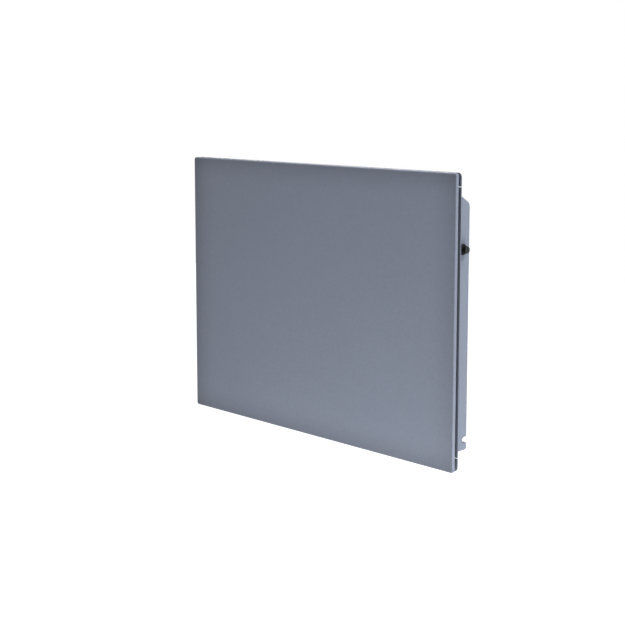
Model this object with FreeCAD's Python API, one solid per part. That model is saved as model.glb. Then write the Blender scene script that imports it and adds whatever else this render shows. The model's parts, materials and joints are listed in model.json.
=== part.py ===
import FreeCAD, Part
import math
import os

# Electric panel radiator, in millimetres. X runs to the right as the user sees it, Y into the wall, Z up.
# The origin is midway between the two keyholes, on the wall plane.

V = FreeCAD.Vector

# Overall sizes
PANEL_WIDTH = 600.0
PANEL_HEIGHT = 450.0
TOTAL_DEPTH = 44.0
CUT_OVERRUN = 2.0

# Front panel, a shallow steel tray
PANEL_SHEET = 1.0
PANEL_RETURN = 5.0
PANEL_BEND_R = 2.0
PANEL_CORNER_R = 4.0

# Rear casing, one folded sheet: top flange, sloping top, back, underside, bottom flange
CASING_SHEET = 1.0
AIR_GAP = 6.5
FLANGE_CORNER_R = 7.0
TOP_FLANGE_HEIGHT = 20.4
BOTTOM_FLANGE_HEIGHT = 20.8
SIDE_FLANGE_WIDTH = 10.0
SLIT_WIDTH = 1.0
SLOPE_FRONT_DROP = 29.0
SLOPE_REAR_DROP = 48.0
UNDERSIDE_RISE = 27.2
FLANGE_BEND_R = 1.5
REAR_TOP_BEND_R = 8.0
REAR_BOTTOM_BEND_R = 3.0

# Keyholes in the back, which hang on two wall screws
KEYHOLE_DROP = 115.0
KEYHOLE_SPACING = 400.0
KEYHOLE_ENTRY_R = 5.0
KEYHOLE_NECK_R = 2.5
KEYHOLE_NECK_LENGTH = 12.0

# Air slots in the sloping top and in the underside
SLOT_WIDTH = 3.5
SLOT_LENGTH = 16.0
SLOT_PITCH = 14.0
SLOT_END_MARGIN = 44.0

# Cable notch through the right end plate and the corner of the back
CABLE_RISE = 43.0
CABLE_NOTCH_R = 4.7
CABLE_SIDE_LENGTH = 9.5
CABLE_BACK_LENGTH = 12.0

# Tabs of the end plates and the rivets through them
TAB_LENGTH = 14.0
TAB_WIDTH = 14.0
BACK_TAB_DROP = 90.0
BACK_TAB_RISE = 120.0
RIVET_R = 1.6
RIVET_HEAD_R = 3.2
RIVET_HEAD_HEIGHT = 1.1
RIVET_TAIL_R = 2.3
RIVET_TAIL_HEIGHT = 2.0
RIVET_CLEARANCE = 0.05

# Studs, spacers and nuts that hold the front panel on the flanges
PANEL_STUD_R = 2.0
PANEL_STUD_END = 1.5
PANEL_STUD_INSET = 50.0
PANEL_STUD_COUNT = 4
SPACER_R = 5.0
NUT_FLANGE_R = 5.0
NUT_FLANGE_HEIGHT = 1.2
NUT_ACROSS_FLATS = 7.0
NUT_HEIGHT = 3.2
SCREW_CLEARANCE = 0.1
FLANGE_HOLE_CLEARANCE = 0.25

# Weld studs and nuts inside the casing
INNER_STUD_R = 1.5
INNER_STUD_END = 1.0
INNER_NUT_ACROSS_FLATS = 5.5
INNER_NUT_HEIGHT = 2.4

# Partition between the heating space and the control space
PARTITION_INSET = 84.0
PARTITION_SHEET = 0.8
PARTITION_FOOT = 10.0
PARTITION_BEND_R = 0.8
PARTITION_CLEARANCE = 0.3
PARTITION_STUD_DROP = 75.0
PARTITION_STUD_RISE = 50.0
GROMMET_BORE_R = 5.2
GROMMET_NECK_R = 6.5
GROMMET_FLANGE_R = 8.5
GROMMET_FLANGE = 1.5
GROMMET_CLEARANCE = 0.05

# Heating element: finned aluminium body on a sheathed rod
ELEMENT_RISE = 135.0
ELEMENT_DEPTH = 18.0
ELEMENT_END_SPACE = 19.0
FIN_END_GAP = 15.0
FIN_HALF_HEIGHT = 28.0
FIN_HALF_DEPTH = 8.0
FIN_WEB = 2.2
FIN_RIB = 1.5
FIN_RIB_PITCH = 6.2
FIN_RIB_COUNT = 4
FIN_TUBE_R = 6.5
ROD_R = 4.2
ROD_OVERHANG = 10.0
ROD_CLEARANCE = 0.05
INSULATOR_R = 3.4
INSULATOR_LENGTH = 5.0
PIN_R = 1.5
PIN_LENGTH = 8.0

# Brackets and bushes that carry the element
BRACKET_SHEET = 1.2
BRACKET_FOOT = 14.0
BRACKET_HEIGHT = 44.0
BRACKET_REACH = 30.0
BRACKET_BEND_R = 1.2
BRACKET_STUD_SPACING = 28.0
BUSH_R = 7.0
BUSH_LENGTH = 5.0
BUSH_FLANGE_R = 9.0
BUSH_FLANGE = 2.0
BUSH_CLEARANCE = 0.05

# Heat shield behind the element
SHIELD_SHEET = 0.5
SHIELD_STANDOFF = 6.0
SHIELD_HEIGHT = 120.0
SHIELD_FOOT = 12.0
SHIELD_END_GAP = 20.0
SHIELD_BEND_R = 0.6

# Overheat limiter above the element
LIMITER_INSET = 105.0
LIMITER_LIFT = 3.0
LIMITER_R = 8.0
LIMITER_HEIGHT = 5.0
LIMITER_CAP_R = 6.5
LIMITER_CAP_HEIGHT = 2.0
LIMITER_NECK_R = 6.2
LIMITER_NECK_HEIGHT = 6.0
LIMITER_NECK_CLEARANCE = 0.2
LIMITER_SPADE_WIDTH = 4.0
LIMITER_SPADE_SHEET = 0.8
LIMITER_SPADE_HEIGHT = 7.0
LIMITER_SPADE_OFFSET = 4.0
LIMITER_BRACKET_SHEET = 1.0
LIMITER_BRACKET_WIDTH = 27.0
LIMITER_BRACKET_REACH = 29.0
LIMITER_BRACKET_FOOT = 22.0
LIMITER_BRACKET_BEND_R = 1.0
LIMITER_STUD_RISE = 13.0
LIMITER_EAR_LENGTH = 26.0
LIMITER_EAR_WIDTH = 10.0
LIMITER_EAR = 1.5
LIMITER_RIVET_OFFSET = 10.4
LIMITER_RIVET_R = 1.0
LIMITER_RIVET_HEAD_R = 1.9
LIMITER_RIVET_HEAD_HEIGHT = 0.8

# Rotary control and its knob on the right end plate
KNOB_DROP = 115.0
KNOB_DEPTH = 16.4
KNOB_SKIRT_R = 8.2
KNOB_BODY_R = 5.7
KNOB_TIP_R = 5.4
KNOB_HEIGHT = 10.0
KNOB_FLOAT = 0.6
KNOB_SKIRT_EDGE = 2.6
KNOB_SKIRT_HEIGHT = 5.6
KNOB_HOLLOW_R = 6.9
KNOB_HOLLOW_DEPTH = 2.8
KNOB_MARK_WIDTH = 1.0
KNOB_MARK_DEPTH = 0.5
KNOB_TIP_WALL = 2.4
KNOB_EDGE_R = 0.8
KNOB_FLARE_SHARE = 0.3
SHAFT_R = 3.0
SHAFT_FLAT = 1.5
SHAFT_CLEARANCE = 0.05
CONTROL_BODY_R = 8.0
CONTROL_BODY_LENGTH = 8.0
CONTROL_WALL = 1.5
CONTROL_BUSH_R = 4.5
CONTROL_BUSH_LENGTH = 4.2
CONTROL_HOLE_CLEARANCE = 0.1
CONTROL_NUT_ACROSS_FLATS = 10.5
CONTROL_NUT_HEIGHT = 2.0
CONTROL_WASHER_R = 6.4
CONTROL_WASHER = 0.5
CONTROL_CAVITY_R = 6.5
CONTROL_ROTOR_R = 6.0
CONTROL_ROTOR = 3.0
CONTROL_FOOT_WIDTH = 10.0
CONTROL_FOOT_DROP = 12.0
CONTROL_FOOT_LENGTH = 4.0

# Circuit board and what is soldered on it
BOARD_INSET = 44.0
BOARD_RISE = 210.0
BOARD_WIDTH = 60.0
BOARD_HEIGHT = 120.0
BOARD_THICKNESS = 1.6
BOARD_SPACER_R = 3.0
BOARD_SPACER_LENGTH = 8.0
BOARD_HOLE_INSET = 4.5
BOARD_SCREW_R = 1.5
BOARD_SCREW_LENGTH = 6.0
BOARD_SCREW_HEAD_R = 2.8
BOARD_SCREW_HEAD_HEIGHT = 2.0
RELAY_SIZE = (19.0, 15.0, 15.5)
RELAY_PLACE_SHARES = (0.50, 0.36)
CAPACITOR_SIZE = (26.0, 16.0, 9.0)
CAPACITOR_PLACE_SHARES = (0.52, 0.60)
FUSE_R = 2.6
FUSE_LENGTH = 20.0
FUSE_CLIP_LENGTH = 5.0
FUSE_CLIP_WIDTH = 7.0
FUSE_CLIP_HEIGHT = 4.0
FUSE_CLEARANCE = 0.05
FUSE_PLACE_SHARES = (0.70, 0.17)
SUPPLY_PLUG_SIZE = (20.0, 12.0, 10.0)
SUPPLY_PLUG_INSET = 14.0
SUPPLY_POLE_SPACING = 9.0
HEATER_PLUG_SIZE = (10.0, 14.0, 18.0)
HEATER_PLUG_DROP = 20.0
HEATER_POLE_SPACING = 6.0
HEADER_SIZE = (7.0, 8.0, 9.0)
HEADER_DROPS = (40.0, 58.0)

# Supply terminal block
BLOCK_INSET = 46.0
BLOCK_RISE = 84.0
BLOCK_WIDTH = 36.0
BLOCK_HEIGHT = 22.0
BLOCK_DEPTH = 16.0
BLOCK_FOOT_LENGTH = 10.0
BLOCK_FOOT_THICKNESS = 3.0
BLOCK_POLE_SPACING = 12.0
BLOCK_POLE_DEPTH = 8.0
BLOCK_SCREW_R = 2.6
BLOCK_SCREW_LENGTH = 5.0
BLOCK_SCREW_RECESS = 1.0
BLOCK_SCREW_CLEARANCE = 0.1

# Earth tag on its stud
EARTH_INSET = 21.0
EARTH_RISE = 130.0
EARTH_TAG_R = 4.5
EARTH_TAG_SHEET = 0.8
EARTH_BARREL_R = 1.8
EARTH_BARREL_LENGTH = 7.0

# Room sensor in its clip on the underside
SENSOR_INSET = 31.0
SENSOR_R = 2.5
SENSOR_LENGTH = 18.0
SENSOR_HEIGHT = 6.5
CLIP_LENGTH = 8.0
CLIP_WIDTH = 8.0
CLIP_CLEARANCE = 0.05

# Internal wires
WIRE_R = 1.1
WIRE_BEND_R = 4.0
LEAD_REACH = 9.0
LIMITER_LEAD_DEPTH = 28.0
LIMITER_LEAD_RISE = 14.0

# Places worked out from the sizes above
TOP_Z = KEYHOLE_DROP
BOTTOM_Z = TOP_Z - PANEL_HEIGHT
HALF_WIDTH = PANEL_WIDTH / 2
FRONT_Y = -TOTAL_DEPTH
PANEL_INNER_Y = FRONT_Y + PANEL_SHEET
FLANGE_Y = FRONT_Y + PANEL_RETURN + AIR_GAP
BACK_INNER_Y = -CASING_SHEET
END_PLATE_X = HALF_WIDTH - SIDE_FLANGE_WIDTH
CASING_END_X = END_PLATE_X - CASING_SHEET
FLOOR_Z = BOTTOM_Z + UNDERSIDE_RISE + CASING_SHEET
SLOT_COUNT = int(2 * (CASING_END_X - SLOT_END_MARGIN) / SLOT_PITCH) + 1
PARTITION_X = CASING_END_X - PARTITION_INSET
ELEMENT_X = (PARTITION_X - CASING_END_X) / 2
HEATING_LENGTH = PARTITION_X + CASING_END_X
ROD_LENGTH = HEATING_LENGTH - 2 * (ELEMENT_END_SPACE + INSULATOR_LENGTH + PIN_LENGTH)
BRACKET_SPAN = ROD_LENGTH - 2 * ROD_OVERHANG
FIN_LENGTH = BRACKET_SPAN - 2 * FIN_END_GAP
SHIELD_LENGTH = BRACKET_SPAN - 2 * SHIELD_END_GAP
LIMITER_X = PARTITION_X - LIMITER_INSET
BOARD_X = CASING_END_X - BOARD_INSET
BLOCK_X = CASING_END_X - BLOCK_INSET
EARTH_X = CASING_END_X - EARTH_INSET
SENSOR_X = CASING_END_X - SENSOR_INSET
ELEMENT_Y = -ELEMENT_DEPTH
ELEMENT_Z = BOTTOM_Z + ELEMENT_RISE
KNOB_Y = -KNOB_DEPTH
KNOB_Z = TOP_Z - KNOB_DROP
CABLE_Z = BOTTOM_Z + CABLE_RISE
BOARD_Z = BOTTOM_Z + BOARD_RISE
BOARD_BACK_Y = BACK_INNER_Y - BOARD_SPACER_LENGTH
BOARD_FRONT_Y = BOARD_BACK_Y - BOARD_THICKNESS
BOARD_LEFT_X = BOARD_X - BOARD_WIDTH / 2
BOARD_RIGHT_X = BOARD_X + BOARD_WIDTH / 2
BOARD_BOTTOM_Z = BOARD_Z - BOARD_HEIGHT / 2
BOARD_TOP_Z = BOARD_Z + BOARD_HEIGHT / 2
HEATER_PLUG_Z = BOARD_TOP_Z - HEATER_PLUG_DROP
UPPER_POLE_Z = HEATER_PLUG_Z + HEATER_POLE_SPACING / 2
LOWER_POLE_Z = HEATER_PLUG_Z - HEATER_POLE_SPACING / 2
BLOCK_Z = BOTTOM_Z + BLOCK_RISE
BLOCK_TOP_Z = BLOCK_Z + BLOCK_HEIGHT / 2
EARTH_Z = BOTTOM_Z + EARTH_RISE
SHIELD_TOP_Z = ELEMENT_Z + SHIELD_HEIGHT / 2 + SHIELD_FOOT
LIMITER_SHELF_Z = SHIELD_TOP_Z + LIMITER_LIFT
SPADE_TOP_Z = LIMITER_SHELF_Z + LIMITER_NECK_HEIGHT + LIMITER_SPADE_HEIGHT
SENSOR_Z = FLOOR_Z + SENSOR_HEIGHT
HEADER_Y = BOARD_FRONT_Y - HEADER_SIZE[1] / 2
CONTROL_REAR_X = CASING_END_X - CONTROL_BODY_LENGTH
LEAD_X = CONTROL_REAR_X + CONTROL_WALL + CONTROL_FOOT_LENGTH / 2
KNOB_BASE_X = END_PLATE_X + KNOB_FLOAT
KNOB_TIP_X = KNOB_BASE_X + KNOB_HEIGHT

# Inner face of the casing sheet, from the top flange round to the bottom flange, as (y, z) corners
CASING_LINE = (
    (FLANGE_Y, TOP_Z),
    (FLANGE_Y, TOP_Z - SLOPE_FRONT_DROP),
    (BACK_INNER_Y, TOP_Z - SLOPE_REAR_DROP),
    (BACK_INNER_Y, FLOOR_Z),
    (FLANGE_Y, FLOOR_Z),
    (FLANGE_Y, BOTTOM_Z),
)
CASING_BENDS = (FLANGE_BEND_R, REAR_TOP_BEND_R, REAR_BOTTOM_BEND_R, FLANGE_BEND_R)


# Basic solids

def box(x0, x1, y0, y1, z0, z1):
    """Block between two corners."""
    return Part.makeBox(x1 - x0, y1 - y0, z1 - z0, V(x0, y0, z0))


def bar(start, end, radius):
    """Round bar from one point to another."""
    along = end - start
    return Part.makeCylinder(radius, along.Length, start, along)


def ring(start, end, radius, bore):
    """Sleeve from one point to another."""
    return bar(start, end, radius).cut(bar(start, end, bore))


def hexagon(start, end, across_flats):
    """Six-sided bar from one point to another, along X or Y."""
    along = end - start
    corner = across_flats / math.sqrt(3)
    side = V(0, 0, 1)
    other = along.cross(side).normalize()
    turns = [math.radians(60 * step) for step in range(7)]
    points = [start + side * (corner * math.cos(turn)) + other * (corner * math.sin(turn)) for turn in turns]
    return Part.Face(Part.makePolygon(points)).extrude(along)


def group(solids):
    """Separate solids kept together in one node."""
    return Part.makeCompound(solids)


def mirrored(shape):
    """The same shape on the other side of the middle."""
    return shape.mirror(V(0, 0, 0), V(1, 0, 0))


# Outlines of straight edges and tangent arcs

PLANES = {
    "yz": lambda a, b: V(0, a, b),
    "xz": lambda a, b: V(a, 0, b),
    "xy": lambda a, b: V(a, b, 0),
}


def corner_arc(before, point, after, radius):
    """Ends and middle of the arc that rounds one corner of a path."""
    back = (before - point).normalize()
    forth = (after - point).normalize()
    half = back.getAngle(forth) / 2
    reach = radius / math.tan(half)
    middle_way = (back + forth).normalize()
    centre = point + middle_way * (radius / math.sin(half))
    return point + back * reach, centre - middle_way * radius, point + forth * reach


def path_edges(points, radii):
    """Edges along points, with an arc at each inner corner that has a radius."""
    edges = []
    last = points[0]
    for index in range(1, len(points) - 1):
        if not radii[index]:
            edges.append(Part.makeLine(last, points[index]))
            last = points[index]
            continue
        first, middle, end = corner_arc(points[index - 1], points[index], points[index + 1], radii[index])
        edges.append(Part.makeLine(last, first))
        edges.append(Part.Arc(first, middle, end).toShape())
        last = end
    edges.append(Part.makeLine(last, points[-1]))
    return edges


def outline_face(plane, corners, radii):
    """Face inside a closed outline, whose first corner is sharp."""
    points = [PLANES[plane](a, b) for a, b in corners]
    edges = path_edges(points + points[:1], list(radii) + [0])
    return Part.Face(Part.Wire(edges))


def offset_line(line, sheet):
    """Corners of the other face of a sheet, which lies to the left of the line."""
    vectors = [V(a, b, 0) for a, b in line]
    ways = [(vectors[i + 1] - vectors[i]).normalize() for i in range(len(vectors) - 1)]
    lefts = [V(-way.y, way.x, 0) for way in ways]
    moved = [vectors[0] + lefts[0] * sheet]
    for index in range(1, len(vectors) - 1):
        both = (lefts[index - 1] + lefts[index]).normalize()
        moved.append(vectors[index] + both * (sheet / both.dot(lefts[index])))
    moved.append(vectors[-1] + lefts[-1] * sheet)
    return [(point.x, point.y) for point in moved]


def sheet_face(plane, line, bends, sheet):
    """Cross-section of a folded sheet. Each bend is given by its inside radius."""
    near = []
    far = []
    for index, bend in enumerate(bends, start=1):
        (a0, b0), (a1, b1), (a2, b2) = line[index - 1:index + 2]
        left_turn = (a1 - a0) * (b2 - b1) - (b1 - b0) * (a2 - a1) > 0
        near.append(bend + sheet if left_turn else bend)
        far.append(bend if left_turn else bend + sheet)
    corners = list(line) + offset_line(line, sheet)[::-1]
    radii = [0] + near + [0, 0] + far[::-1] + [0]
    return outline_face(plane, corners, radii)


def along_x(face, x0, x1):
    """A face in the YZ plane drawn out between two places on X."""
    moved = face.copy()
    moved.translate(V(x0, 0, 0))
    return moved.extrude(V(x1 - x0, 0, 0))


def along_y(face, y0, y1):
    """A face in the XZ plane drawn out between two places on Y."""
    moved = face.copy()
    moved.translate(V(0, y0, 0))
    return moved.extrude(V(0, y1 - y0, 0))


def along_z(face, z0, z1):
    """A face in the XY plane drawn out between two places on Z."""
    moved = face.copy()
    moved.translate(V(0, 0, z0))
    return moved.extrude(V(0, 0, z1 - z0))


def front_outline(half_width, bottom, top, radius):
    """Rounded rectangle as seen from the front."""
    middle = (bottom + top) / 2
    corners = [(-half_width, middle), (-half_width, top), (half_width, top), (half_width, bottom),
               (-half_width, bottom)]
    return outline_face("xz", corners, [0, radius, radius, radius, radius])


def wire(points):
    """Insulated wire along a route of straight runs and tangent arcs."""
    route = Part.Wire(path_edges(points, [WIRE_BEND_R] * len(points)))
    start = points[0]
    circle = Part.Wire(Part.makeCircle(WIRE_R, start, points[1] - start))
    return route.makePipeShell([circle], True, False)


# Fixings

def inner_stud(x, z, grip):
    """Weld stud on the inside of the back, long enough for what it holds and its nut."""
    root = V(x, BACK_INNER_Y, z)
    return bar(root, root - V(0, grip + INNER_NUT_HEIGHT + INNER_STUD_END, 0), INNER_STUD_R)


def inner_nut(x, z, grip):
    """Nut on a weld stud."""
    seat = V(x, BACK_INNER_Y - grip, z)
    end = seat - V(0, INNER_NUT_HEIGHT, 0)
    bore = bar(seat, end, INNER_STUD_R + SCREW_CLEARANCE / 2)
    return hexagon(seat, end, INNER_NUT_ACROSS_FLATS).cut(bore)


def inner_stud_hole(x, z, grip):
    """Clearance hole for a weld stud through what it holds."""
    behind = V(x, BACK_INNER_Y + CUT_OVERRUN, z)
    front = V(x, BACK_INNER_Y - grip - CUT_OVERRUN, z)
    return bar(behind, front, INNER_STUD_R + SCREW_CLEARANCE)


def inner_fixings():
    """Place and grip of every weld stud inside the casing."""
    places = []
    for x in (bracket_x(-1) - BRACKET_FOOT / 2, bracket_x(1) + BRACKET_FOOT / 2):
        for side in (-1, 1):
            places.append((x, ELEMENT_Z + side * BRACKET_STUD_SPACING / 2, BRACKET_SHEET))
    for z in (TOP_Z - PARTITION_STUD_DROP, BOTTOM_Z + PARTITION_STUD_RISE):
        places.append((PARTITION_X + PARTITION_FOOT / 2, z, PARTITION_SHEET))
    places.append((LIMITER_X, LIMITER_SHELF_Z + LIMITER_STUD_RISE, LIMITER_BRACKET_SHEET))
    places.append((block_foot_x(), BLOCK_Z, BLOCK_FOOT_THICKNESS))
    places.append((EARTH_X, EARTH_Z, EARTH_TAG_SHEET))
    return places


def slope_frame():
    """Start, direction and outward normal of the sloping top's inner face, in the YZ plane."""
    start = V(0, *CASING_LINE[1])
    way = (V(0, *CASING_LINE[2]) - start).normalize()
    return start, way, V(0, -way.z, way.y)


def slope_middle():
    """Point halfway along the sloping top's inner face."""
    return (V(0, *CASING_LINE[1]) + V(0, *CASING_LINE[2])) / 2


def floor_middle_y():
    """Middle of the underside, from front to back."""
    return (FLANGE_Y + BACK_INNER_Y) / 2


def rivet_places():
    """Foot, on the inner face of the casing sheet, and outward direction of every rivet."""
    places = []
    for side in (-1, 1):
        x = V(side * (CASING_END_X - TAB_LENGTH / 2), 0, 0)
        places.append((slope_middle() + x, slope_frame()[2]))
        places.append((V(0, floor_middle_y(), FLOOR_Z) + x, V(0, 0, -1)))
    return places


def rivet_hole(place, outward):
    """Hole for a rivet through the casing and the tab behind it."""
    reach = CASING_SHEET + CUT_OVERRUN
    return bar(place - outward * reach, place + outward * reach, RIVET_R + RIVET_CLEARANCE)


def rivet(place, outward):
    """Blind rivet with its domed head outside and its formed tail inside."""
    tab_face = place - outward * CASING_SHEET
    skin = place + outward * CASING_SHEET
    head = bar(skin, skin + outward * RIVET_HEAD_HEIGHT, RIVET_HEAD_R)
    rim = max(head.Edges, key=lambda edge: edge.CenterOfMass.dot(outward))
    head = head.makeFillet(RIVET_HEAD_HEIGHT / 2, [rim])
    tail = bar(tab_face, tab_face - outward * RIVET_TAIL_HEIGHT, RIVET_TAIL_R)
    return head.fuse([bar(tab_face, skin, RIVET_R), tail]).removeSplitter()


# Front panel

def panel_tray(inset):
    """Solid of the front panel's outside, or of its hollow when it is inset by the sheet."""
    radius = PANEL_CORNER_R - inset
    face = front_outline(HALF_WIDTH - inset, BOTTOM_Z + inset, TOP_Z - inset, radius)
    front = FRONT_Y + inset
    rear = FRONT_Y + PANEL_RETURN + (CUT_OVERRUN if inset else 0)
    solid = along_y(face, front, rear)
    rim = [edge for edge in solid.Edges if abs(edge.BoundBox.YMax - front) < CUT_OVERRUN / 10]
    return solid.makeFillet(PANEL_BEND_R - inset, rim)


def front_panel():
    return panel_tray(0).cut(panel_tray(PANEL_SHEET))


def panel_stud_places():
    """Axis of every front panel stud, on the front face of the flange."""
    heights = (TOP_Z - TOP_FLANGE_HEIGHT / 2, BOTTOM_Z + BOTTOM_FLANGE_HEIGHT / 2)
    first = PANEL_STUD_INSET - HALF_WIDTH
    pitch = (PANEL_WIDTH - 2 * PANEL_STUD_INSET) / (PANEL_STUD_COUNT - 1)
    return [V(first + index * pitch, FLANGE_Y, z) for z in heights for index in range(PANEL_STUD_COUNT)]


def panel_stud(place):
    root = V(place.x, PANEL_INNER_Y, place.z)
    end = place + V(0, CASING_SHEET + NUT_FLANGE_HEIGHT + NUT_HEIGHT + PANEL_STUD_END, 0)
    return bar(root, end, PANEL_STUD_R)


def panel_spacer(place):
    root = V(place.x, PANEL_INNER_Y, place.z)
    return ring(root, place, SPACER_R, PANEL_STUD_R + SCREW_CLEARANCE)


def panel_nut(place):
    seat = place + V(0, CASING_SHEET, 0)
    washer = seat + V(0, NUT_FLANGE_HEIGHT, 0)
    end = washer + V(0, NUT_HEIGHT, 0)
    body = bar(seat, washer, NUT_FLANGE_R).fuse(hexagon(washer, end, NUT_ACROSS_FLATS))
    return body.cut(bar(seat, end, PANEL_STUD_R + SCREW_CLEARANCE / 2)).removeSplitter()


# Casing

def slot_cut(centre, way, normal):
    """Round-ended air slot through the casing sheet."""
    straight = (SLOT_LENGTH - SLOT_WIDTH) / 2
    reach = CASING_SHEET + CUT_OVERRUN
    ends = [centre + way * straight, centre - way * straight]
    caps = [bar(end - normal * reach, end + normal * reach, SLOT_WIDTH / 2) for end in ends]
    side = V(SLOT_WIDTH / 2, 0, 0)
    corners = [ends[0] - side, ends[0] + side, ends[1] + side, ends[1] - side, ends[0] - side]
    face = Part.Face(Part.makePolygon([corner - normal * reach for corner in corners]))
    return face.extrude(normal * (reach * 2)).fuse(caps)


def air_slots():
    """All air slots of the sloping top and of the underside."""
    slots = []
    for index in range(SLOT_COUNT):
        x = V((index - (SLOT_COUNT - 1) / 2) * SLOT_PITCH, 0, 0)
        slots.append(slot_cut(slope_middle() + x, slope_frame()[1], slope_frame()[2]))
        slots.append(slot_cut(V(0, floor_middle_y(), FLOOR_Z) + x, V(0, 1, 0), V(0, 0, 1)))
    return slots


def keyhole_cut(x):
    """Round entry hole with a narrow neck above it, which the wall screw's shank slides into."""
    front = -CASING_SHEET - CUT_OVERRUN
    entry = bar(V(x, front, 0), V(x, CUT_OVERRUN, 0), KEYHOLE_ENTRY_R)
    top = bar(V(x, front, KEYHOLE_NECK_LENGTH), V(x, CUT_OVERRUN, KEYHOLE_NECK_LENGTH), KEYHOLE_NECK_R)
    neck = box(x - KEYHOLE_NECK_R, x + KEYHOLE_NECK_R, front, CUT_OVERRUN, 0, KEYHOLE_NECK_LENGTH)
    return entry.fuse([top, neck])


def cable_back_cut():
    """Notch in the back's right edge, rounded at its inner end."""
    inner = CASING_END_X - CABLE_BACK_LENGTH + CABLE_NOTCH_R
    front = -CABLE_SIDE_LENGTH
    end = bar(V(inner, front, CABLE_Z), V(inner, CUT_OVERRUN, CABLE_Z), CABLE_NOTCH_R)
    mouth = box(inner, HALF_WIDTH, front, CUT_OVERRUN, CABLE_Z - CABLE_NOTCH_R, CABLE_Z + CABLE_NOTCH_R)
    return end.fuse(mouth)


def rear_casing():
    folded = along_x(sheet_face("yz", CASING_LINE, CASING_BENDS, CASING_SHEET), -HALF_WIDTH, HALF_WIDTH)
    outline = front_outline(HALF_WIDTH, BOTTOM_Z, TOP_Z, FLANGE_CORNER_R)
    mask = along_y(outline, FLANGE_Y - CUT_OVERRUN, CUT_OVERRUN)
    side = box(CASING_END_X, HALF_WIDTH + CUT_OVERRUN, FLANGE_Y - CUT_OVERRUN, CUT_OVERRUN,
               BOTTOM_Z + BOTTOM_FLANGE_HEIGHT, TOP_Z - TOP_FLANGE_HEIGHT)
    holes = [keyhole_cut(x) for x in (-KEYHOLE_SPACING / 2, KEYHOLE_SPACING / 2)]
    holes += [rivet_hole(*place) for place in rivet_places()]
    for place in panel_stud_places():
        reach = V(0, CASING_SHEET + CUT_OVERRUN, 0)
        holes.append(bar(place - reach, place + reach, PANEL_STUD_R + FLANGE_HOLE_CLEARANCE))
    return folded.common(mask).cut([side, mirrored(side), cable_back_cut()] + holes + air_slots())


def casing_side_outline():
    """Side view of the casing's outside, without its flanges."""
    (rear, top), (_, bottom) = offset_line(CASING_LINE, CASING_SHEET)[2:4]
    start, way, outward = slope_frame()
    skin = start + outward * CASING_SHEET
    front_top = skin.z + (FLANGE_Y - skin.y) * way.z / way.y
    corners = [(FLANGE_Y, front_top), (rear, top), (rear, bottom), (FLANGE_Y, bottom)]
    radii = [0, REAR_TOP_BEND_R + CASING_SHEET, REAR_BOTTOM_BEND_R + CASING_SHEET, 0]
    return outline_face("yz", corners, radii)


def plate_tabs():
    """Tabs bent inwards from an end plate, lying on the inside of the casing sheet."""
    x0 = CASING_END_X - TAB_LENGTH
    x1 = CASING_END_X
    middle = floor_middle_y()
    half = TAB_WIDTH / 2
    tabs = [box(x0, x1, middle - half, middle + half, FLOOR_Z, FLOOR_Z + CASING_SHEET)]
    _, way, outward = slope_frame()
    ends = [slope_middle() - way * half, slope_middle() + way * half]
    points = ends + [end - outward * CASING_SHEET for end in ends[::-1]] + ends[:1]
    tabs.append(along_x(Part.Face(Part.makePolygon(points)), x0, x1))
    for z in (TOP_Z - BACK_TAB_DROP, BOTTOM_Z + BACK_TAB_RISE):
        tabs.append(box(x0, x1, BACK_INNER_Y - CASING_SHEET, BACK_INNER_Y, z - half, z + half))
    return tabs


def end_plate():
    """End plate with its side flange turned outwards, as on the right."""
    line = ((CASING_END_X, 0), (CASING_END_X, FLANGE_Y), (HALF_WIDTH, FLANGE_Y))
    folded = along_z(sheet_face("xy", line, (FLANGE_BEND_R,), CASING_SHEET), BOTTOM_Z, TOP_Z)
    side = along_x(casing_side_outline(), CASING_END_X, END_PLATE_X)
    flange = box(CASING_END_X, HALF_WIDTH, FLANGE_Y, FLANGE_Y + CASING_SHEET + FLANGE_BEND_R,
                 BOTTOM_Z + BOTTOM_FLANGE_HEIGHT + SLIT_WIDTH, TOP_Z - TOP_FLANGE_HEIGHT - SLIT_WIDTH)
    plate = folded.common(side.fuse(flange)).fuse(plate_tabs())
    return plate.cut([rivet_hole(*place) for place in rivet_places()]).removeSplitter()


def right_end_plate():
    inner = -CABLE_SIDE_LENGTH + CABLE_NOTCH_R
    x0 = CASING_END_X - CUT_OVERRUN
    x1 = END_PLATE_X + CUT_OVERRUN
    end = bar(V(x0, inner, CABLE_Z), V(x1, inner, CABLE_Z), CABLE_NOTCH_R)
    mouth = box(x0, x1, inner, CUT_OVERRUN, CABLE_Z - CABLE_NOTCH_R, CABLE_Z + CABLE_NOTCH_R)
    control = bar(V(x0, KNOB_Y, KNOB_Z), V(x1, KNOB_Y, KNOB_Z), CONTROL_BUSH_R + CONTROL_HOLE_CLEARANCE)
    return end_plate().cut([end, mouth, control])


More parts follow.
